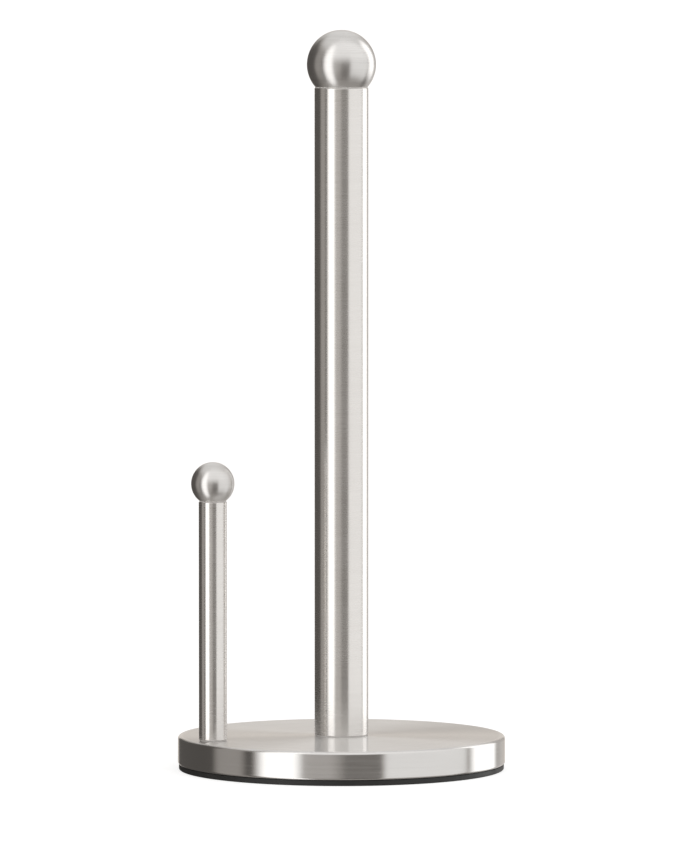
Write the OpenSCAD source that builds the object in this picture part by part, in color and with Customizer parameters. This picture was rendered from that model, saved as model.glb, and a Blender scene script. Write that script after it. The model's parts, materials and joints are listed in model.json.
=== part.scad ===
// Free-standing paper towel holder.
// A weighted round base carries a tall centre post for the roll and a short side post that stops
// the sheets from unwinding. Both posts are steel tubes, bolted on from below, with a hollow ball
// screwed into their top ends.
// Millimetres, +Z up. The origin is the centre of the base's underside, and the side post stands
// on the -X axis.

/* [Base] */
// Outside diameter of the base
base_d = 152; // [148:1:180]
// Height of the steel cover
cover_h = 13.2; // [12:0.1:20]
// Sheet thickness of the steel cover
cover_t = 1; // [0.8:0.1:1.2]
// Radius of the cover's top edge
cover_edge_r = 1.5; // [1.4:0.1:3.5]
// Width of the lip turned in below the ballast
lip_w = 2.5; // [1.5:0.1:3]
// Height of the non-slip pad
pad_h = 2.5; // [2:0.1:4]
// Distance from the cover's wall in to the pad's edge
pad_inset = 0.5; // [0.3:0.1:1.5]

/* [Centre post] */
// Height of the whole holder
overall_h = 343; // [320:1:370]
// Outside diameter of the centre post
main_post_d = 25; // [24:0.5:28]
// Diameter of the large ball
main_ball_d = 32; // [30:0.5:38]

/* [Side post] */
// Height of the side post with its ball
side_h = 144.5; // [120:0.5:180]
// Outside diameter of the side post
side_post_d = 13; // [12.5:0.1:14]
// Diameter of the small ball
side_ball_d = 20; // [18:0.5:22]
// Distance between the two posts' axes
post_spacing = 64; // [62:0.5:64]

/* [Sheet and washers] */
// Wall thickness of both tubes
tube_t = 1; // [0.8:0.1:1.2]
// Wall thickness of both balls
ball_t = 1.2; // [1:0.1:1.4]
// Thickness of the plastic washers under the posts
foot_washer_t = 0.4; // [0.4:0.1:0.8]
// Thickness of the plastic washers under the balls
finial_washer_t = 0.4; // [0.4:0.1:0.8]

/* [Hidden] */
$fn = 96;

// Fits and fine details
press_gap = 0.05;      // radial gap of pieces that are pressed or welded together
face_gap = 0.02;       // between two flat faces that turn or lift off each other
thread_gap = 0.05;     // radial running fit of a stud that screws in and out
bolt_hole_gap = 0.25;  // radial clearance of a hole that a bolt passes through
weight_gap = 0.2;      // between the ballast and the cover around it
edge_break = 0.4;      // chamfer on turned edges
seam_inset = 0.3;      // how far the washers and a ball's foot stay inside the tube's outer wall
cut = 1;               // how far a cutting shape runs past the face it opens

// Heights
cover_base_z = pad_h;
base_top_z = pad_h + cover_h;
weight_z = cover_base_z + cover_t;
weight_h = cover_h - 2 * cover_t;
tube_base_z = base_top_z + foot_washer_t;

// Pad: a flange under the cover's rim and a raised step inside the lip
pad_r = base_d / 2 - pad_inset;
pad_step_r = base_d / 2 - lip_w - cover_t - weight_gap;
pad_groove_r = [18, 30, 42, 54, 66];
pad_groove_w = 2;
pad_groove_depth = 0.8;

// Metric fasteners: thread diameter, head width across flats, head height, flat washer diameter
// and thickness, lock washer diameter and thickness
M6 = [6, 10, 4, 12, 1.6, 11.1, 1.6];
M5 = [5, 8, 3.5, 10, 1, 9.2, 1.2];
function thread_d(m) = m[0];
function head_w(m) = m[1];
function head_h(m) = m[2];
function flat_d(m) = m[3];
function flat_t(m) = m[4];
function lock_d(m) = m[5];
function lock_t(m) = m[6];
main_bolt = M6;
side_bolt = M5;
bolt_reach = 12;       // length of bolt that screws into a tube's foot insert
pocket_gap = 0.5;      // gap around a bolt's washers and under its head in the ballast's pocket
lock_slit_w = 1.2;     // slit of a lock washer

// Finial screws
main_stud_d = 6;
side_stud_d = 4;
main_stud_down = 10;   // length of stud below the ball
side_stud_down = 8;
main_boss_r = 5.5;
side_boss_r = 3.6;
boss_clear = 3;        // space between a boss's end and the top of its ball

// Plugs pressed into the tubes
foot_insert_h = 20;
top_insert_h = 14;
insert_sink = 0.3;     // how far a plug sits inside the tube's end

// A ball's flat foot is a little narrower than its tube, which sets the height of its cut
function foot_r(post_d) = post_d / 2 - seam_inset;
function foot_drop(ball_d, post_d) = sqrt(pow(ball_d / 2, 2) - pow(foot_r(post_d), 2));
main_foot_z = overall_h - main_ball_d / 2 - foot_drop(main_ball_d, main_post_d);
side_foot_z = side_h - side_ball_d / 2 - foot_drop(side_ball_d, side_post_d);
main_washer_z = main_foot_z - face_gap - finial_washer_t;
side_washer_z = side_foot_z - face_gap - finial_washer_t;
main_tube_top_z = main_washer_z - face_gap;
side_tube_top_z = side_washer_z - face_gap;

module at_side_post() {
    translate([-post_spacing, 0, 0]) children();
}

// ---- Shared shapes, each standing on z = 0 about its own axis ----

// Turned disc with both outer edges broken
module chamfered_disc(r, h, c) {
    rotate_extrude()
        polygon([[0, 0], [r - c, 0], [r, c], [r, h - c], [r - c, h], [0, h]]);
}

module ring(outer_r, inner_r, h) {
    difference() {
        cylinder(r = outer_r, h = h);
        translate([0, 0, -cut]) cylinder(r = inner_r, h = h + 2 * cut);
    }
}

module post_tube(d, length) {
    difference() {
        chamfered_disc(d / 2, length, edge_break);
        translate([0, 0, -cut]) cylinder(r = d / 2 - tube_t, h = length + 2 * cut);
    }
}

// Plug with a thread all the way through it
module threaded_plug(r, h, bore_r) {
    difference() {
        chamfered_disc(r, h, edge_break);
        translate([0, 0, -cut]) cylinder(r = bore_r, h = h + 2 * cut);
    }
}

// Hex head below z = 0, shank above it
module hex_bolt(m, shank) {
    translate([0, 0, -head_h(m)])
        intersection() {
            cylinder(d = head_w(m) / cos(30), h = head_h(m), $fn = 6);
            chamfered_disc(head_w(m) / cos(30) / 2, head_h(m), edge_break);
        }
    cylinder(d = thread_d(m), h = shank);
}

module flat_washer(m) {
    ring(flat_d(m) / 2, thread_d(m) / 2 + bolt_hole_gap, flat_t(m));
}

module lock_washer(m) {
    difference() {
        ring(lock_d(m) / 2, thread_d(m) / 2 + bolt_hole_gap, lock_t(m));
        translate([0, -lock_slit_w / 2, -cut]) cube([lock_d(m), lock_slit_w, lock_t(m) + 2 * cut]);
    }
}

// Hollow ball centred on z = 0, closed by a flat foot that has a hole for the boss
module hollow_ball(d, foot_z, boss_r) {
    foot = d / 2 - foot_z;
    difference() {
        sphere(d = d);
        translate([-d, -d, -foot_z - 2 * d]) cube(2 * d);
        difference() {
            sphere(r = d / 2 - ball_t);
            translate([-d, -d, -foot_z - 2 * d + ball_t]) cube(2 * d);
        }
        translate([0, 0, -foot_z - cut]) cylinder(r = boss_r + press_gap, h = foot + cut);
    }
}

// ---- Base ----

// Height of a bolt's seat in the ballast, above its head and two washers
function seat_z(m) = weight_z + head_h(m) + flat_t(m) + lock_t(m) + pocket_gap;
function shank_length(m) = tube_base_z + insert_sink + bolt_reach - (seat_z(m) - flat_t(m) - lock_t(m));

module bolt_pocket(m) {
    translate([0, 0, weight_z - cut])
        cylinder(r = flat_d(m) / 2 + pocket_gap, h = seat_z(m) - weight_z + cut);
    bolt_hole(m);
}

module bolt_hole(m) {
    cylinder(r = thread_d(m) / 2 + bolt_hole_gap, h = base_top_z + cut);
}

// Half section of the drawn cover: wall, top and the lip turned in at the bottom
module cover_section() {
    r = base_d / 2;
    inner_edge_r = cover_edge_r - cover_t;
    difference() {
        union() {
            square([r, cover_h - cover_edge_r]);
            square([r - cover_edge_r, cover_h]);
            translate([r - cover_edge_r, cover_h - cover_edge_r]) circle(r = cover_edge_r);
        }
        translate([0, cover_t]) square([r - cover_t, cover_h - cover_t - cover_edge_r]);
        translate([0, cover_t]) square([r - cover_edge_r, cover_h - 2 * cover_t]);
        translate([r - cover_edge_r, cover_h - cover_edge_r]) circle(r = inner_edge_r);
        square([r - cover_t - lip_w, cover_t]);
    }
}

module base_cover() {
    color("silver")
        difference() {
            translate([0, 0, cover_base_z]) rotate_extrude() cover_section();
            bolt_hole(main_bolt);
            at_side_post() bolt_hole(side_bolt);
        }
}

module base_weight() {
    color("dimgray")
        difference() {
            translate([0, 0, weight_z])
                chamfered_disc(base_d / 2 - cover_t - weight_gap, weight_h - press_gap, cover_edge_r);
            bolt_pocket(main_bolt);
            at_side_post() bolt_pocket(side_bolt);
        }
}

module base_pad() {
    color([0.06, 0.06, 0.06])
        difference() {
            union() {
                chamfered_disc(pad_r, pad_h - press_gap, edge_break);
                cylinder(r = pad_step_r, h = pad_h + cover_t - press_gap);
            }
            for (r = pad_groove_r)
                translate([0, 0, -cut]) ring(r + pad_groove_w, r, pad_groove_depth + cut);
        }
}

// ---- Centre post ----

module main_post_tube() {
    color("silver")
        translate([0, 0, tube_base_z]) post_tube(main_post_d, main_tube_top_z - tube_base_z);
}

module main_post_foot_insert() {
    color("gainsboro")
        translate([0, 0, tube_base_z + insert_sink])
            threaded_plug(main_post_d / 2 - tube_t - press_gap, foot_insert_h,
                thread_d(main_bolt) / 2 + press_gap);
}

module main_post_top_insert() {
    color("gainsboro")
        translate([0, 0, main_tube_top_z - insert_sink - top_insert_h])
            threaded_plug(main_post_d / 2 - tube_t - press_gap, top_insert_h,
                main_stud_d / 2 + thread_gap);
}

module main_post_foot_washer() {
    color([0.86, 0.84, 0.78])
        translate([0, 0, base_top_z])
            ring(main_post_d / 2 - seam_inset, thread_d(main_bolt) / 2 + bolt_hole_gap, foot_washer_t);
}

module main_post_bolt() {
    color("darkgray")
        translate([0, 0, seat_z(main_bolt) - flat_t(main_bolt) - lock_t(main_bolt)])
            hex_bolt(main_bolt, shank_length(main_bolt));
}

module main_post_flat_washer() {
    color("darkgray")
        translate([0, 0, seat_z(main_bolt) - flat_t(main_bolt)]) flat_washer(main_bolt);
}

module main_post_lock_washer() {
    color("gray")
        translate([0, 0, seat_z(main_bolt) - flat_t(main_bolt) - lock_t(main_bolt)])
            lock_washer(main_bolt);
}

// ---- Large ball ----

module main_finial_ball() {
    color("silver")
        translate([0, 0, overall_h - main_ball_d / 2])
            hollow_ball(main_ball_d, foot_drop(main_ball_d, main_post_d), main_boss_r);
}

module main_finial_boss() {
    color("gainsboro")
        translate([0, 0, main_foot_z])
            threaded_plug(main_boss_r, overall_h - ball_t - boss_clear - main_foot_z,
                main_stud_d / 2 + press_gap);
}

module main_finial_stud() {
    color("darkgray")
        translate([0, 0, main_foot_z - main_stud_down])
            chamfered_disc(main_stud_d / 2, overall_h - ball_t - 2 * boss_clear - main_foot_z
                + main_stud_down, edge_break);
}

module main_finial_washer() {
    color([0.86, 0.84, 0.78])
        translate([0, 0, main_washer_z])
            ring(main_post_d / 2 - seam_inset, main_stud_d / 2 + bolt_hole_gap, finial_washer_t);
}

// ---- Side post ----

module side_post_tube() {
    color("silver")
        at_side_post()
            translate([0, 0, tube_base_z]) post_tube(side_post_d, side_tube_top_z - tube_base_z);
}

module side_post_foot_insert() {
    color("gainsboro")
        at_side_post()
            translate([0, 0, tube_base_z + insert_sink])
                threaded_plug(side_post_d / 2 - tube_t - press_gap, foot_insert_h,
                    thread_d(side_bolt) / 2 + press_gap);
}

module side_post_top_insert() {
    color("gainsboro")
        at_side_post()
            translate([0, 0, side_tube_top_z - insert_sink - top_insert_h])
                threaded_plug(side_post_d / 2 - tube_t - press_gap, top_insert_h,
                    side_stud_d / 2 + thread_gap);
}

module side_post_foot_washer() {
    color([0.86, 0.84, 0.78])
        at_side_post()
            translate([0, 0, base_top_z])
                ring(side_post_d / 2 - seam_inset, thread_d(side_bolt) / 2 + bolt_hole_gap,
                    foot_washer_t);
}

module side_post_bolt() {
    color("darkgray")
        at_side_post()
            translate([0, 0, seat_z(side_bolt) - flat_t(side_bolt) - lock_t(side_bolt)])
                hex_bolt(side_bolt, shank_length(side_bolt));
}

module side_post_flat_washer() {
    color("darkgray")
        at_side_post()
            translate([0, 0, seat_z(side_bolt) - flat_t(side_bolt)]) flat_washer(side_bolt);
}

module side_post_lock_washer() {
    color("gray")
        at_side_post()
            translate([0, 0, seat_z(side_bolt) - flat_t(side_bolt) - lock_t(side_bolt)])
                lock_washer(side_bolt);
}

// ---- Small ball ----

module side_finial_ball() {
    color("silver")
        at_side_post()
            translate([0, 0, side_h - side_ball_d / 2])
                hollow_ball(side_ball_d, foot_drop(side_ball_d, side_post_d), side_boss_r);
}

module side_finial_boss() {
    color("gainsboro")
        at_side_post()
            translate([0, 0, side_foot_z])
                threaded_plug(side_boss_r, side_h - ball_t - boss_clear - side_foot_z,
                    side_stud_d / 2 + press_gap);
}

module side_finial_stud() {
    color("darkgray")
        at_side_post()
            translate([0, 0, side_foot_z - side_stud_down])
                chamfered_disc(side_stud_d / 2, side_h - ball_t - 2 * boss_clear - side_foot_z
                    + side_stud_down, edge_break);
}

module side_finial_washer() {
    color([0.86, 0.84, 0.78])
        at_side_post()
            translate([0, 0, side_washer_z])
                ring(side_post_d / 2 - seam_inset, side_stud_d / 2 + bolt_hole_gap,
                    finial_washer_t);
}

base_cover();
base_weight();
base_pad();
main_post_tube();
main_post_foot_insert();
main_post_top_insert();
main_post_foot_washer();
main_post_bolt();
main_post_flat_washer();
main_post_lock_washer();
main_finial_ball();
main_finial_boss();
main_finial_stud();
main_finial_washer();
side_post_tube();
side_post_foot_insert();
side_post_top_insert();
side_post_foot_washer();
side_post_bolt();
side_post_flat_washer();
side_post_lock_washer();
side_finial_ball();
side_finial_boss();
side_finial_stud();
side_finial_washer();
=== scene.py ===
import json
import math

import bpy
import numpy as np
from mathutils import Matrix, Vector
from mathutils.geometry import tessellate_polygon


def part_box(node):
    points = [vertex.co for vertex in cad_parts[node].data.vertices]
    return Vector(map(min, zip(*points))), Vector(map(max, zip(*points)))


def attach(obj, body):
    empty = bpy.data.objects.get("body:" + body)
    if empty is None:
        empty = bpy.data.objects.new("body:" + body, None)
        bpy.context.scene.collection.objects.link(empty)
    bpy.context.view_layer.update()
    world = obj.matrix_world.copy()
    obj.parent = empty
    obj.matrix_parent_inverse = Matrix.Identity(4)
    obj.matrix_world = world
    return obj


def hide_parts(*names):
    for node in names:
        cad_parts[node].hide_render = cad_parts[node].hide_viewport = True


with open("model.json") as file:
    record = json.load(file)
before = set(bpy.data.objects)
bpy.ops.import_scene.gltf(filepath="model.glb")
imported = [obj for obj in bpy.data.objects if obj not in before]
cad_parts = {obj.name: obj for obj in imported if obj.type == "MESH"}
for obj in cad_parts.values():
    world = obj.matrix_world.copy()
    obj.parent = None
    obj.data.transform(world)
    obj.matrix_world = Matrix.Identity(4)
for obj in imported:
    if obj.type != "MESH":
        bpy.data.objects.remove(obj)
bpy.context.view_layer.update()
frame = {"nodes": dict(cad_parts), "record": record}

# Metres and degrees. A piece takes its place from the box of the CAD node that it stands for. What
# a box can't tell, such as wall thicknesses and roundings, is stated here, and the sizes of bolts
# and threads are stated where each post is made.
SHEET = 0.001             # wall of the cover and of both tubes
BALL_WALL = 0.0012
COVER_EDGE = 0.0015       # rounding of the cover's top edge
COVER_HEM = 0.0012        # rounding of the cover's bottom edge
LIP = 0.0025              # width of the lip turned in under the ballast
SCREW_GAP = 0.00025       # radial clearance of a hole that a bolt or stud passes through
THREAD_GAP = 0.00005      # radial clearance between a thread and its plug
WELD_GAP = 0.00005        # radial clearance round a boss that is welded into its ball
PAD_EDGE = 0.0006         # rounding of the pad's bottom edge
PAD_STEP = 0.001          # height of the pad's raised middle
PAD_STEP_INSET = 0.0032   # distance from the pad's edge to its raised middle
GROOVES = (0.018, 0.030, 0.042, 0.054, 0.066)  # inner radii of the grooves under the pad
GROOVE_WIDTH = 0.002
GROOVE_DEPTH = 0.0008
TUBE_EDGE = 0.0003        # rounding of a tube's outer edges
FOOT_EDGE = 0.0002        # rounding of the edges of a ball's flat foot, its hole and its floor
FOOT_TURN = 2.0           # degrees left out of a ball's arcs for the rounding at their ends
WASHER_EDGE = 0.00015     # rounding of a plastic ring's edges
CHAMFER = 0.0004          # chamfer on turned ends and bolt heads

ROUND = 192               # facets round a large turned piece
ROUND_SMALL = 72          # facets round a threaded piece, and round a hole in the cover
BALL_STEPS = 72           # facets from a ball's foot to its top
HOLLOW_STEPS = 40         # facets from the floor of a ball's hollow to its top
THREAD_STEPS = 10         # rows of points in each turn of a thread
SHARP_ANGLE = 28          # a threaded piece is shaded sharp where it bends more than this
AXIS_REACH = 1e-7         # a ring narrower than this is one point on the axis

BODIES = frame["record"]["behaviour"]["bodies"]
BODY_OF = {node: body for body, nodes in BODIES.items() for node in nodes}


# ---- Turned shapes ----


def unit(vector):
    return vector / np.linalg.norm(vector)


def outline(corners, closed=False, steps=6):
    """Rows of a turned surface: a point and a normal, each as (out, up), and a mark.

    Each corner is (radius, height, rounding), and the solid lies on the left of the way round.
    The mark is 1 on a rounded outer edge, where steel is worn brighter, and 0 elsewhere.
    """
    places = [np.array(corner[:2]) for corner in corners]
    rows = []
    for i, (here, (*_, rounding)) in enumerate(zip(places, corners)):
        first = i == 0 and not closed
        last = i == len(places) - 1 and not closed
        way_out = None if last else unit(places[(i + 1) % len(places)] - here)
        way_in = way_out if first else unit(here - places[i - 1])
        normal = np.array((way_in[1], -way_in[0]))
        if first or last:
            rows.append((here, normal, 0.0))
            continue
        bend = math.copysign(1.0, way_in[0] * way_out[1] - way_in[1] * way_out[0])
        half_turn = math.acos(np.clip(np.dot(way_in, way_out), -1, 1)) / 2
        centre = here - way_in * rounding * math.tan(half_turn) - normal * rounding * bend
        for angle in np.linspace(0, 2 * half_turn * bend, steps + 1):
            c, s = math.cos(angle), math.sin(angle)
            turned_normal = np.array((normal[0] * c - normal[1] * s, normal[0] * s + normal[1] * c))
            rows.append((centre + turned_normal * rounding * bend, turned_normal, max(bend, 0.0)))
    return rows


def arc(centre_z, radius, start, end, steps, facing=1):
    """Rows along an arc about a point of the axis. Facing is 1 for a ball and -1 for its hollow."""
    ways = [np.array((math.cos(a), math.sin(a))) for a in np.radians(np.linspace(start, end, steps + 1))]
    return [(np.array((0.0, centre_z)) + way * radius, way * facing, 0.0) for way in ways]


class Turning:
    """The surface of one piece: walls turned about upright axes, and flat plates between them."""

    def __init__(self):
        self.verts = []
        self.normals = []
        self.marks = []
        self.faces = []

    def wall(self, rows, axis_x=0.0, closed=False, segments=ROUND):
        """Adds the surface that the rows sweep out, and returns its rings of point numbers."""
        angles = np.linspace(0, 2 * math.pi, segments, endpoint=False)
        ways = [(math.cos(a), math.sin(a)) for a in angles]
        rings = []
        for (r, z), (out, up), mark in rows:
            start = len(self.verts)
            at_axis = r < AXIS_REACH
            used = [(1.0, 0.0)] if at_axis else ways
            self.verts += [(axis_x + r * c, r * s, z) for c, s in used]
            self.normals += [(0.0, 0.0, up)] if at_axis else [(out * c, out * s, up) for c, s in used]
            self.marks += [mark] * len(used)
            rings.append([start] * segments if at_axis else list(range(start, start + segments)))
        for low, high in zip(rings, rings[1:] + rings[:1] if closed else rings[1:]):
            for j in range(segments):
                quad = (low[j - 1], low[j], high[j], high[j - 1])
                self.faces.append(tuple(dict.fromkeys(quad)))
        return rings

    def plate(self, rim, holes, up):
        """Fills the flat space between a ring and the rings of the holes in it."""
        loops = [[Vector(self.verts[i]) for i in ring] for ring in (rim, *holes)]
        numbers = [i for ring in (rim, *holes) for i in ring]
        for triangle in tessellate_polygon(loops):
            corners = [numbers[i] for i in triangle]
            a, b, c = (Vector(self.verts[i]) for i in corners)
            if (b - a).cross(c - a).z * up < 0:
                corners.reverse()
            self.faces.append(tuple(corners))

    def piece(self, name):
        made = mesh_object(name, self.verts, self.faces)
        made.data.normals_split_custom_set_from_vertices(self.normals)
        edge = made.data.attributes.new("edge", "FLOAT", "POINT")
        edge.data.foreach_set("value", self.marks)
        return made


def mesh_object(name, verts, faces):
    mesh = bpy.data.meshes.new(name)
    mesh.from_pydata(verts, [], faces)
    mesh.polygons.foreach_set("use_smooth", [True] * len(mesh.polygons))
    made = bpy.data.objects.new(name, mesh)
    bpy.context.scene.collection.objects.link(made)
    return made


def turned(name, rows, axis_x=0.0, closed=False):
    shape = Turning()
    shape.wall(rows, axis_x, closed)
    return shape.piece(name)


# ---- Threads and hexagons, whose radius differs from angle to angle ----

ANGLES = np.linspace(0, 2 * math.pi, ROUND_SMALL, endpoint=False)

# A metric thread's depth and its flat crest and root, as shares of the pitch
THREAD_DEPTH = 0.5413
CREST_FLAT = 1 / 8
ROOT_FLAT = 1 / 4


def thread_radius(major, pitch, z):
    """Radius of a right-hand metric thread at height z."""
    phase = (z / pitch - ANGLES / (2 * math.pi)) % 1.0
    crest_nearness = np.abs(2 * phase - 1)
    flank = np.clip((crest_nearness - ROOT_FLAT) / (1 - ROOT_FLAT - CREST_FLAT), 0, 1)
    return major - THREAD_DEPTH * pitch * (1 - flank)


def thread_heights(pitch, low, high):
    return np.linspace(low, high, round((high - low) / pitch * THREAD_STEPS) + 1)


def thread(major, pitch, low, high, lead_low, lead_high):
    """Rows up a thread whose ends are cut back by a cone as long as each lead."""
    rows = []
    for z in thread_heights(pitch, low, high):
        cone = major - max(0.0, lead_low - (z - low), lead_high - (high - z))
        rows.append((np.minimum(thread_radius(major, pitch, z), cone), z))
    return rows


def tapped_hole(major, pitch, low, high):
    """Rows down a threaded hole, countersunk at both ends."""
    rows = []
    for z in thread_heights(pitch, low, high)[::-1]:
        cone = major + CHAMFER - min(z - low, high - z)
        rows.append((np.maximum(thread_radius(major, pitch, z), cone), z))
    return rows


def hexagon(across_flats):
    sixth = math.pi / 3
    return across_flats / 2 / np.cos((ANGLES + sixth / 2) % sixth - sixth / 2)


def ringed(name, rows, axis_x, bored=False):
    """A piece from rows of (radius at each angle, height), with its ends capped unless it is bored."""
    verts = []
    rings = []
    for radius, z in rows:
        rings.append(range(len(verts), len(verts) + ROUND_SMALL))
        spread = np.broadcast_to(radius, ROUND_SMALL)
        verts += [(axis_x + r * math.cos(a), r * math.sin(a), z) for r, a in zip(spread, ANGLES)]
    faces = []
    for low, high in zip(rings, rings[1:] + rings[:1] if bored else rings[1:]):
        faces += [(low[j - 1], low[j], high[j], high[j - 1]) for j in range(ROUND_SMALL)]
    if not bored:
        faces += [tuple(reversed(rings[0])), tuple(rings[-1])]
    made = mesh_object(name, verts, faces)
    made.data.set_sharp_from_angle(angle=math.radians(SHARP_ANGLE))
    return made


# ---- Shader graphs ----


class Graph:
    """Short calls for the shader nodes used here."""

    def __init__(self, tree):
        self.tree = tree

    def node(self, kind, inputs=(), **settings):
        made = self.tree.nodes.new(kind)
        for name, value in settings.items():
            setattr(made, name, value)
        for name, value in dict(inputs).items():
            self.feed(made.inputs[name], value)
        return made

    def feed(self, socket, value):
        if isinstance(value, bpy.types.NodeSocket):
            self.tree.links.new(value, socket)
        else:
            socket.default_value = value

    def math(self, operation, *values):
        return self.node("ShaderNodeMath", enumerate(values), operation=operation).outputs[0]

    def dot(self, vector, way):
        made = self.node("ShaderNodeVectorMath", {0: vector, 1: way}, operation="DOT_PRODUCT")
        return made.outputs["Value"]

    def remap(self, value, low, high, to_low=0.0, to_high=1.0, smooth=False):
        inputs = {0: value, 1: low, 2: high, 3: to_low, 4: to_high}
        kind = "SMOOTHSTEP" if smooth else "LINEAR"
        return self.node("ShaderNodeMapRange", inputs, interpolation_type=kind).outputs[0]

    def mix(self, factor, colour_a, colour_b):
        made = self.node("ShaderNodeMix", data_type="RGBA")
        self.feed(made.inputs[0], factor)
        self.feed(made.inputs[6], colour_a)
        self.feed(made.inputs[7], colour_b)
        return made.outputs[2]

    def bump(self, height, depth, normal=None):
        inputs = {"Height": height, "Distance": depth}
        if normal is not None:
            inputs["Normal"] = normal
        return self.node("ShaderNodeBump", inputs).outputs[0]


class Finish(Graph):
    """A material for a piece that was turned about the upright axis at axis_x."""

    def __init__(self, name, axis_x, **fixed):
        self.material = bpy.data.materials.new(name)
        self.material.use_nodes = True
        super().__init__(self.material.node_tree)
        self.surface = self.tree.nodes["Principled BSDF"]
        for socket, value in fixed.items():
            self.surface.inputs[socket.replace("_", " ").title()].default_value = value
        place = self.node("ShaderNodeTexCoord").outputs["Object"]
        moved = self.node("ShaderNodeVectorMath", {0: place, 1: (axis_x, 0, 0)}, operation="SUBTRACT")
        self.place = moved.outputs[0]

    def noise(self, size, detail=3.0):
        inputs = {"Vector": self.place, "Scale": 1 / size, "Detail": detail}
        return self.node("ShaderNodeTexNoise", inputs).outputs["Fac"]

    def rings(self, spacing, length, detail=2.0):
        """Noise drawn out into lines round the axis, so far apart and so long."""
        x, y, z = self.node("ShaderNodeSeparateXYZ", {0: self.place}).outputs
        squares = [self.math("MULTIPLY", side, side) for side in (x, y)]
        radius = self.math("SQRT", self.math("ADD", *squares))
        spot = self.node("ShaderNodeCombineXYZ", {
            0: self.math("DIVIDE", x, length),
            1: self.math("DIVIDE", y, length),
            2: self.math("DIVIDE", radius, spacing),
        })
        height = self.math("DIVIDE", z, spacing)
        inputs = {"Vector": spot.outputs[0], "W": height, "Scale": 1.0, "Detail": detail}
        return self.node("ShaderNodeTexNoise", inputs, noise_dimensions="4D").outputs["Fac"]

    def done(self, colour, roughness, normal):
        self.feed(self.surface.inputs["Base Color"], colour)
        self.feed(self.surface.inputs["Roughness"], roughness)
        self.feed(self.surface.inputs["Normal"], normal)
        return self.material


def grey(level, warmth=0.0):
    return (level * (1 + warmth), level, level * (1 - warmth), 1.0)


BRIGHTEST_STEEL = 0.93
LACQUER_ROUGHNESS = 0.1
TOP_FADE = (0.5, 0.95)    # how far up a face points when it stops being wall, and when it is top


def brushed_steel(
    name, axis_x, *, level, warmth, rough_wall, rough_top, anisotropic, grain, streak, lacquer=0.0
):
    """Stainless steel brushed round its axis.

    level is how bright the bare metal is, grain how far apart the brush lines are and streak how
    long they are. The lines spread reflections up and down, and hardly at all round the axis.
    lacquer is the strength of a clear coat against fingerprints, which mirrors at a low angle.
    """
    finish = Finish(
        name, axis_x, metallic=1.0, anisotropic=anisotropic, anisotropic_rotation=0.25,
        coat_weight=lacquer, coat_roughness=LACQUER_ROUGHNESS,
    )
    lines = finish.rings(grain, streak, 3.0)
    bands = finish.rings(grain * 8, streak * 3)
    scratches = finish.remap(finish.rings(grain * 1.5, streak / 2), 0.68, 0.76)
    handling = finish.noise(0.03)
    edge = finish.node("ShaderNodeAttribute", attribute_name="edge").outputs["Fac"]
    tone = finish.math("ADD", finish.math("MULTIPLY", lines, 0.6), finish.math("MULTIPLY", bands, 0.4))
    dark = grey(level * 0.93, warmth * 1.2)
    bright = grey(level * 1.05, warmth)
    dull = grey(level * 0.92, warmth * 1.4)
    bare = grey(min(level * 1.2, BRIGHTEST_STEEL), warmth)
    metal = finish.mix(finish.remap(tone, 0.35, 0.65), dark, bright)
    dulled = finish.mix(finish.remap(handling, 0.45, 0.75, 0.0, 0.5), metal, dull)
    marked = finish.mix(finish.math("MULTIPLY", scratches, 0.3), dulled, bare)
    worn = finish.mix(finish.math("MULTIPLY", edge, 0.5), marked, bare)
    way = finish.node("ShaderNodeNewGeometry").outputs["Normal"]
    base_rough = finish.remap(finish.dot(way, (0, 0, 1)), *TOP_FADE, rough_wall, rough_top)
    rough = finish.math("ADD", base_rough, finish.remap(lines, 0.3, 0.7, -0.02, 0.02))
    smudged = finish.math("ADD", rough, finish.remap(handling, 0.35, 0.75, -0.02, 0.03))
    polished = finish.math("SUBTRACT", smudged, finish.math("MULTIPLY", edge, 0.05))
    normal = finish.bump(lines, 0.000001, finish.bump(bands, 0.000003))
    tangent = finish.node("ShaderNodeTangent", direction_type="RADIAL", axis="Z").outputs[0]
    finish.feed(finish.surface.inputs["Tangent"], tangent)
    return finish.done(worn, polished, normal)


def turned_steel(name, axis_x):
    """Bare steel from the lathe, with fine even tool marks."""
    finish = Finish(name, axis_x, metallic=1.0)
    marks = finish.rings(0.00015, 0.05, 1.0)
    stain = finish.noise(0.005)
    colour = finish.mix(finish.remap(stain, 0.35, 0.7), grey(0.6, 0.01), grey(0.48, 0.03))
    rough = finish.remap(stain, 0.3, 0.7, 0.3, 0.42)
    return finish.done(colour, rough, finish.bump(marks, 0.00001))


def zinc_plate(name, axis_x):
    """Zinc plated fastener steel with a faint yellow passivation."""
    finish = Finish(name, axis_x, metallic=1.0)
    mottle = finish.noise(0.0015, 5.0)
    blush = finish.remap(finish.noise(0.005), 0.5, 0.75, 0.0, 0.6)
    skin = finish.mix(finish.remap(mottle, 0.3, 0.7), grey(0.52, -0.02), grey(0.66, -0.02))
    colour = finish.mix(blush, skin, grey(0.58, 0.1))
    rough = finish.remap(mottle, 0.3, 0.7, 0.28, 0.42)
    return finish.done(colour, rough, finish.bump(mottle, 0.00001))


def cast_iron(name, axis_x):
    """Sand-cast iron under a thin black coat that rust has started to lift."""
    finish = Finish(name, axis_x)
    sand = finish.noise(0.0012, 6.0)
    lumps = finish.noise(0.009, 4.0)
    rust = finish.remap(finish.noise(0.02, 5.0), 0.58, 0.72, 0.0, 0.5)
    paint = finish.mix(sand, grey(0.018), grey(0.05))
    colour = finish.mix(rust, paint, (0.13, 0.06, 0.03, 1.0))
    rough = finish.remap(sand, 0.3, 0.7, 0.5, 0.75)
    return finish.done(colour, rough, finish.bump(sand, 0.00015, finish.bump(lumps, 0.0003)))


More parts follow.
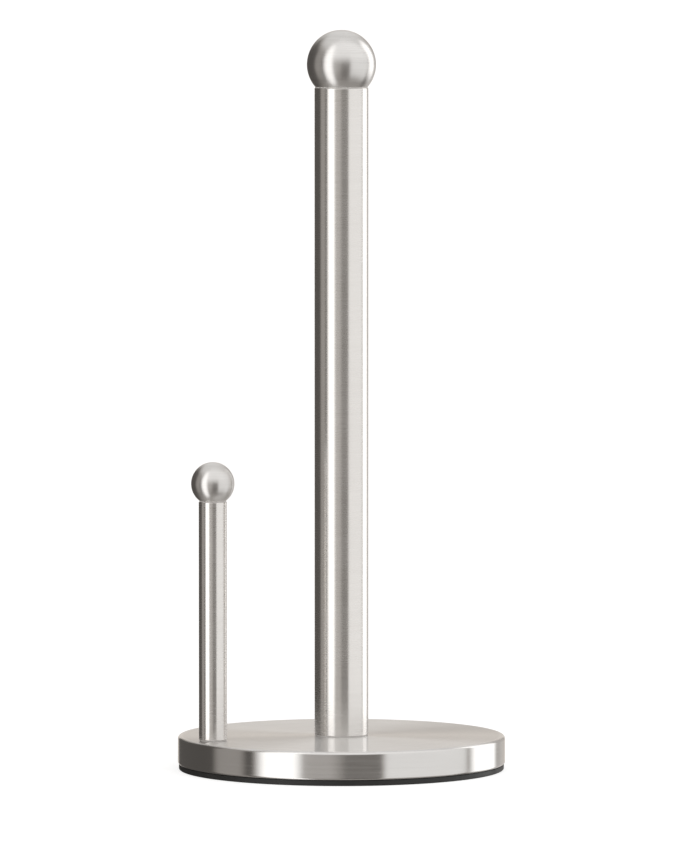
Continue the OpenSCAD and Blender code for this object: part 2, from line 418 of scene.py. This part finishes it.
def black_rubber(name, axis_x):
    """Moulded rubber with a pebbled skin and a little dust."""
    finish = Finish(name, axis_x)
    pebbles = finish.noise(0.0006, 2.0)
    dust = finish.remap(finish.noise(0.015, 5.0), 0.5, 0.8)
    skin = finish.mix(pebbles, grey(0.010), grey(0.022))
    colour = finish.mix(finish.math("MULTIPLY", dust, 0.3), skin, grey(0.05, 0.04))
    rough = finish.remap(dust, 0.0, 1.0, 0.5, 0.7)
    return finish.done(colour, rough, finish.bump(pebbles, 0.00004))


def natural_nylon(name, axis_x):
    """Milky nylon washers punched from sheet, with a drawn grain and scuffs."""
    finish = Finish(name, axis_x)
    grain = finish.rings(0.0003, 0.006)
    scuffs = finish.remap(finish.noise(0.004, 4.0), 0.5, 0.75)
    skin = finish.mix(grain, grey(0.74, 0.03), grey(0.82, 0.02))
    colour = finish.mix(finish.math("MULTIPLY", scuffs, 0.4), skin, grey(0.68, 0.05))
    rough = finish.remap(scuffs, 0.0, 1.0, 0.4, 0.6)
    return finish.done(colour, rough, finish.bump(grain, 0.00001))


# ---- Base ----


def stand_for(made, node, material):
    """The piece takes the CAD node's place, body and material slot."""
    made.data.materials.append(material)
    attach(made, BODY_OF[node])
    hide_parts(node)


def refinish(node, material):
    """The CAD node stays, with a better material."""
    for slot in frame["nodes"][node].material_slots:
        slot.material = material


def make_cover(posts):
    low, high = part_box("base_cover")
    r, z0, z1 = high.x, low.z, high.z
    flat_r = r - 2 * COVER_EDGE
    cut_edge = SHEET / 4
    shape = Turning()
    under, *_, over = shape.wall(outline([
        (flat_r, z1 - SHEET, 0),
        (r - SHEET, z1 - SHEET, COVER_EDGE - SHEET),
        (r - SHEET, z0 + SHEET, cut_edge),
        (r - SHEET - LIP, z0 + SHEET, cut_edge),
        (r - SHEET - LIP, z0, cut_edge),
        (r, z0, COVER_HEM),
        (r, z1, COVER_EDGE),
        (flat_r, z1, 0),
    ]))
    hole_tops = []
    hole_feet = []
    for post in posts:
        hole_r = post.bolt_r + SCREW_GAP
        top, *_, foot = shape.wall(outline([
            (hole_r + SHEET, z1, 0),
            (hole_r, z1, cut_edge),
            (hole_r, z1 - SHEET, cut_edge),
            (hole_r + SHEET, z1 - SHEET, 0),
        ]), post.axis_x, segments=ROUND_SMALL)
        hole_tops.append(top)
        hole_feet.append(foot)
    shape.plate(over, hole_tops, 1)
    shape.plate(under, hole_feet, -1)
    steel = brushed_steel(
        "cover_steel", 0.0, level=0.69, warmth=0.015, rough_wall=0.25, rough_top=0.37,
        anisotropic=0.95, grain=0.0006, streak=0.03, lacquer=0.6,
    )
    stand_for(shape.piece("cover"), "base_cover", steel)


def make_pad():
    low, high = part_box("base_pad")
    r, z0, z1 = high.x, low.z, high.z
    groove_edge = GROOVE_DEPTH / 4
    corners = [(0.0, z0, 0)]
    for groove in GROOVES:
        corners += [
            (groove, z0, groove_edge),
            (groove, z0 + GROOVE_DEPTH, groove_edge),
            (groove + GROOVE_WIDTH, z0 + GROOVE_DEPTH, groove_edge),
            (groove + GROOVE_WIDTH, z0, groove_edge),
        ]
    corners += [
        (r, z0, PAD_EDGE),
        (r, z1 - PAD_STEP, PAD_EDGE / 2),
        (r - PAD_STEP_INSET, z1 - PAD_STEP, PAD_EDGE / 4),
        (r - PAD_STEP_INSET, z1, PAD_EDGE / 2),
        (0.0, z1, 0),
    ]
    stand_for(turned("pad", outline(corners)), "base_pad", black_rubber("pad_rubber", 0.0))


# ---- Posts and their balls ----


class Post:
    """One post with its ball and fasteners, placed by its own CAD nodes."""

    def __init__(self, name, bolt_d, bolt_head, bolt_pitch, stud_pitch):
        self.name = name
        low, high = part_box(f"{name}_post_tube")
        self.axis_x = (low.x + high.x) / 2
        self.bolt_r = bolt_d / 2
        self.bolt_head = bolt_head
        self.bolt_pitch = bolt_pitch
        self.stud_pitch = stud_pitch
        self.stud_r, *_ = self.box("finial_stud")
        self.plug_steel = turned_steel(f"{name}_plug_steel", self.axis_x)
        self.zinc = zinc_plate(f"{name}_fastener_steel", self.axis_x)
        self.nylon = natural_nylon(f"{name}_washer_plastic", self.axis_x)

    def box(self, node):
        """Outer radius, bottom and top of one of the post's nodes."""
        low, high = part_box(f"{self.name}_{node}")
        return (high.y - low.y) / 2, low.z, high.z

    def add(self, made, node, material):
        stand_for(made, f"{self.name}_{node}", material)

    def turned(self, name, rows, closed=False):
        return turned(f"{self.name}_{name}", rows, self.axis_x, closed)

    def ringed(self, name, rows, bored=False):
        return ringed(f"{self.name}_{name}", rows, self.axis_x, bored)

    def make(self):
        self.make_tube()
        self.make_ball()
        self.make_washer("foot_ring", "post_foot_washer", self.bolt_r)
        self.make_washer("ball_ring", "finial_washer", self.stud_r)
        self.make_plug("foot_plug", "post_foot_insert", self.bolt_r, self.bolt_pitch)
        self.make_plug("top_plug", "post_top_insert", self.stud_r, self.stud_pitch)
        self.make_bolt()
        self.make_stud()
        refinish(f"{self.name}_post_flat_washer", self.zinc)
        refinish(f"{self.name}_post_lock_washer", self.zinc)
        refinish(f"{self.name}_finial_boss", self.plug_steel)

    def make_tube(self):
        r, z0, z1 = self.box("post_tube")
        rows = outline([
            (r - SHEET, z0, TUBE_EDGE / 2),
            (r, z0, TUBE_EDGE),
            (r, z1, TUBE_EDGE),
            (r - SHEET, z1, TUBE_EDGE / 2),
        ], closed=True)
        steel = brushed_steel(
            f"{self.name}_post_steel", self.axis_x, level=0.78, warmth=0.025, rough_wall=0.32,
            rough_top=0.32, anisotropic=0.75, grain=0.00025, streak=0.012,
        )
        self.add(self.turned("tube", rows, closed=True), "post_tube", steel)

    def make_ball(self):
        _, z0, z1 = self.box("finial_ball")
        foot_r, *_ = self.box("finial_washer")
        boss_r, *_ = self.box("finial_boss")
        hole_r = boss_r + WELD_GAP
        r = ((z1 - z0) ** 2 + foot_r ** 2) / (2 * (z1 - z0))
        hollow_r = r - BALL_WALL
        centre = z1 - r
        floor = z0 + BALL_WALL
        start = math.degrees(math.asin((z0 - centre) / r)) + FOOT_TURN
        stop = math.degrees(math.asin((floor - centre) / hollow_r)) + FOOT_TURN
        inside = arc(centre, hollow_r, 90, stop, HOLLOW_STEPS, facing=-1)
        outside = arc(centre, r, start, 90, BALL_STEPS)
        foot = outline([
            (*inside[-1][0], 0),
            (math.sqrt(hollow_r ** 2 - (floor - centre) ** 2), floor, FOOT_EDGE),
            (hole_r, floor, FOOT_EDGE),
            (hole_r, z0, FOOT_EDGE),
            (foot_r, z0, FOOT_EDGE),
            (*outside[0][0], 0),
        ])
        steel = brushed_steel(
            f"{self.name}_ball_steel", self.axis_x, level=0.77, warmth=0.015, rough_wall=0.3,
            rough_top=0.3, anisotropic=0.6, grain=0.0002, streak=0.01,
        )
        self.add(self.turned("ball", inside + foot[1:-1] + outside), "finial_ball", steel)

    def make_washer(self, name, node, screw_r):
        r, z0, z1 = self.box(node)
        bore = screw_r + SCREW_GAP
        corners = [(bore, z0), (r, z0), (r, z1), (bore, z1)]
        rows = outline([(*corner, WASHER_EDGE) for corner in corners], closed=True)
        self.add(self.turned(name, rows, closed=True), node, self.nylon)

    def make_plug(self, name, node, screw_r, pitch):
        r, z0, z1 = self.box(node)
        outside = [(r - CHAMFER, z0), (r, z0 + CHAMFER), (r, z1 - CHAMFER), (r - CHAMFER, z1)]
        hole = tapped_hole(screw_r + THREAD_GAP, pitch, z0, z1)
        self.add(self.ringed(name, outside + hole, bored=True), node, self.plug_steel)

    def make_bolt(self):
        _, z0, z1 = self.box("post_bolt")
        _, neck, _ = self.box("post_lock_washer")
        flats = hexagon(self.bolt_head)
        half = self.bolt_head / 2
        head = [(half - CHAMFER, z0)]
        # A cone takes the corners off the hexagon, from its flats out to its corners
        for share in (0.0, 0.5, 1.0):
            reach = half + (flats.max() - half) * share
            head.append((np.minimum(flats, reach), z0 + CHAMFER * (1 + share) / 2))
        head += [(flats, neck), (self.bolt_r, neck)]
        shank = thread(self.bolt_r, self.bolt_pitch, neck + CHAMFER / 4, z1, 0.0, self.bolt_pitch)
        self.add(self.ringed("bolt", head + shank), "post_bolt", self.zinc)

    def make_stud(self):
        r, z0, z1 = self.box("finial_stud")
        rows = thread(r, self.stud_pitch, z0, z1, self.stud_pitch, self.stud_pitch)
        self.add(self.ringed("stud", rows), "finial_stud", self.zinc)


# ---- Studio ----

VIEW_AZIMUTH = -22.1      # where the camera stands: 0 is at -Y, and 90 at +X
VIEW_DISTANCE = 4.0       # from the centre post, along the floor
VIEW_HEIGHT = 0.430
AIM_HEIGHT = 0.160
AIM_LEFT = 0.00066
LENS = 366.4

ROOM = 0.09               # light from where no panel is
# Each panel, in degrees: azimuth from where the camera stands, + to its right; elevation; full
# width and height; how soft its sides and its ends are. Its brightness comes last.
PANELS = (
    (-45, 0, 33, 136, 7, 12, 1.45),      # tall strip light on the left
    (-18, 0, 40, 90, 12, 24, 0.42),      # the strip light's glow on the room
    (12, -5, 60, 100, 8, 20, 0.165),     # room behind the camera
    (65, 8, 71, 96, 4, 14, 0.88),        # white wall on the right
    (122, 12, 36, 70, 6, 12, 1.5),       # strip light behind on the right
    (150, 0, 46, 90, 12, 24, 0.48),      # its glow on the backdrop
    (-87, 0, 30, 80, 6, 14, 0.33),       # grey card on the left
    (180, 0, 28, 60, 6, 12, 0.72),       # white paper behind
    (180, 44, 60, 48, 10, 14, 0.85),     # its upper part, lit from the sides
    (170, -16, 48, 30, 8, 8, 0.62),      # floor behind
    (20, 64, 170, 104, 14, 12, 0.98),    # soft box overhead, in front and to the right
    (180, 74, 230, 70, 14, 14, 0.76),    # light on the ceiling behind
)
FLOOR_LIGHT = 0.34        # light from the floor, below the reach of the panels
FLOOR_FADE = (-30, -60)   # elevations where the floor's light starts to show, and is all there is
WARM = (1.0, 0.93, 0.86, 1.0)
NEUTRAL = (1.0, 0.99, 0.975, 1.0)
TINT_FADE = (0.2, 0.8)    # brightness up to which light is warm, and from which it is neutral
BACK_FADE = (0.85, 0.98)  # cosine of the angle from straight behind where light starts to turn
                          # warm whatever its brightness, and where it is warm

COVE_RADIUS = 7.0
COVE_CURVE = 2.5
COVE_HEIGHT = 6.0
COVE_SINK = 0.0001        # the floor lies this far below the pad
COVE_STEPS = 24
COVE_PAINT = 0.4
COVE_GLOW = 0.75


def flat_way(azimuth):
    """The horizontal direction of an azimuth."""
    angle = math.radians(azimuth)
    return Vector((math.sin(angle), -math.cos(angle), 0.0))


def make_light():
    world = bpy.data.worlds.new("studio")
    world.use_nodes = True
    graph = Graph(world.node_tree)
    way = graph.node("ShaderNodeTexCoord").outputs["Generated"]
    elevation = graph.math("DEGREES", graph.math("ARCSINE", graph.dot(way, (0, 0, 1))))
    level = graph.remap(elevation, *FLOOR_FADE, ROOM, FLOOR_LIGHT, smooth=True)
    for azimuth, height, width, tall, side_blur, end_blur, brightness in PANELS:
        ahead = flat_way(VIEW_AZIMUTH + azimuth)
        across = flat_way(VIEW_AZIMUTH + azimuth + 90)
        turn = graph.math("ARCTAN2", graph.dot(way, across), graph.dot(way, ahead))
        aside = graph.math("ABSOLUTE", graph.math("DEGREES", turn))
        apart = graph.math("ABSOLUTE", graph.math("SUBTRACT", elevation, height))
        sides = graph.remap(aside, width / 2 + side_blur, width / 2 - side_blur, smooth=True)
        ends = graph.remap(apart, tall / 2 + end_blur, tall / 2 - end_blur, smooth=True)
        lit = graph.math("MULTIPLY", graph.math("MULTIPLY", sides, ends), brightness)
        level = graph.math("MAXIMUM", lit, level)
    cream = graph.remap(graph.dot(way, -flat_way(VIEW_AZIMUTH)), *BACK_FADE)
    tint = graph.mix(cream, graph.mix(graph.remap(level, *TINT_FADE), WARM, NEUTRAL), WARM)
    background = world.node_tree.nodes["Background"]
    graph.feed(background.inputs["Color"], tint)
    graph.feed(background.inputs["Strength"], level)
    bpy.context.scene.world = world


def make_cove():
    """A round white floor that curves up into a wall, seen by the camera only."""
    rows = [(np.array((COVE_RADIUS, COVE_HEIGHT)), np.array((-1.0, 0.0)), 0.0)]
    centre = np.array((COVE_RADIUS - COVE_CURVE, COVE_CURVE - COVE_SINK))
    for angle in np.radians(np.linspace(0, -90, COVE_STEPS + 1)):
        way = np.array((math.cos(angle), math.sin(angle)))
        rows.append((centre + way * COVE_CURVE, -way, 0.0))
    rows.append((np.array((0.0, -COVE_SINK)), np.array((0.0, 1.0)), 0.0))
    cove = turned("cove", rows)
    cove.visible_glossy = False
    cove.visible_diffuse = False
    cove.visible_shadow = False
    white = bpy.data.materials.new("cove_white")
    white.use_nodes = True
    surface = white.node_tree.nodes["Principled BSDF"].inputs
    surface["Base Color"].default_value = grey(COVE_PAINT)
    surface["Roughness"].default_value = 1.0
    surface["Specular IOR Level"].default_value = 0.0
    surface["Emission Color"].default_value = grey(1.0)
    surface["Emission Strength"].default_value = COVE_GLOW
    cove.data.materials.append(white)


def make_camera():
    data = bpy.data.cameras.new("camera")
    data.lens = LENS
    camera = bpy.data.objects.new("camera", data)
    bpy.context.scene.collection.objects.link(camera)
    camera.location = flat_way(VIEW_AZIMUTH) * VIEW_DISTANCE + Vector((0, 0, VIEW_HEIGHT))
    aim = Vector((0, 0, AIM_HEIGHT)) - flat_way(VIEW_AZIMUTH + 90) * AIM_LEFT
    camera.rotation_mode = "QUATERNION"
    camera.rotation_quaternion = (aim - camera.location).to_track_quat("-Z", "Y")
    bpy.context.scene.camera = camera


main_post = Post("main", bolt_d=0.006, bolt_head=0.010, bolt_pitch=0.001, stud_pitch=0.001)
side_post = Post("side", bolt_d=0.005, bolt_head=0.008, bolt_pitch=0.0008, stud_pitch=0.0007)
make_cover((main_post, side_post))
make_pad()
refinish("base_weight", cast_iron("ballast_iron", 0.0))
main_post.make()
side_post.make()
make_light()
make_cove()
make_camera()
bpy.context.scene.view_settings.view_transform = "Standard"
